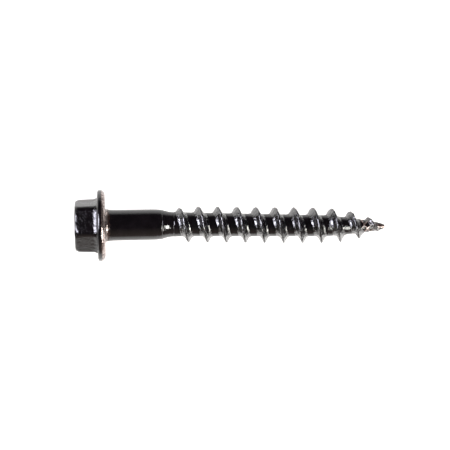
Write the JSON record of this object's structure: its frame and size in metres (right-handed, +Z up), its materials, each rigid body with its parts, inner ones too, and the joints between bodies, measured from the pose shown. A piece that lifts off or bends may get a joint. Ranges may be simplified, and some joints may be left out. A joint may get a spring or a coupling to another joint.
{
  "type": "wood screw",
  "caption": "Hex washer head wood screw with a plain shank, a coarse right-hand thread and a sharp gimlet point, for fastening steel connectors and boards to timber.",
  "frame": {"origin": "centre of the bearing face, the flat underside of the washer flange", "axes": "+X along the screw's axis from the head to the point, the direction it is driven; +Z up; one flat of the hexagon faces 11.8 degrees from +Z towards +Y"},
  "size_m": [0.0422, 0.0098, 0.0098],
  "materials": {
    "black_coating": "glossy black coating on steel, slightly lumpy",
    "flange_coating": "glossy black coating, thin and reddish brown on the underside and in the fillet",
    "worn_point_coating": "thin brown-black coating with bare steel showing along the edges"
  },
  "bodies": {
    "root": {"hex_head": "black_coating", "washer_flange": "flange_coating", "shank": "black_coating", "neck_taper": "black_coating", "thread_core": "black_coating", "gimlet_point": "worn_point_coating", "thread": "black_coating"}
  },
  "joints": []
}
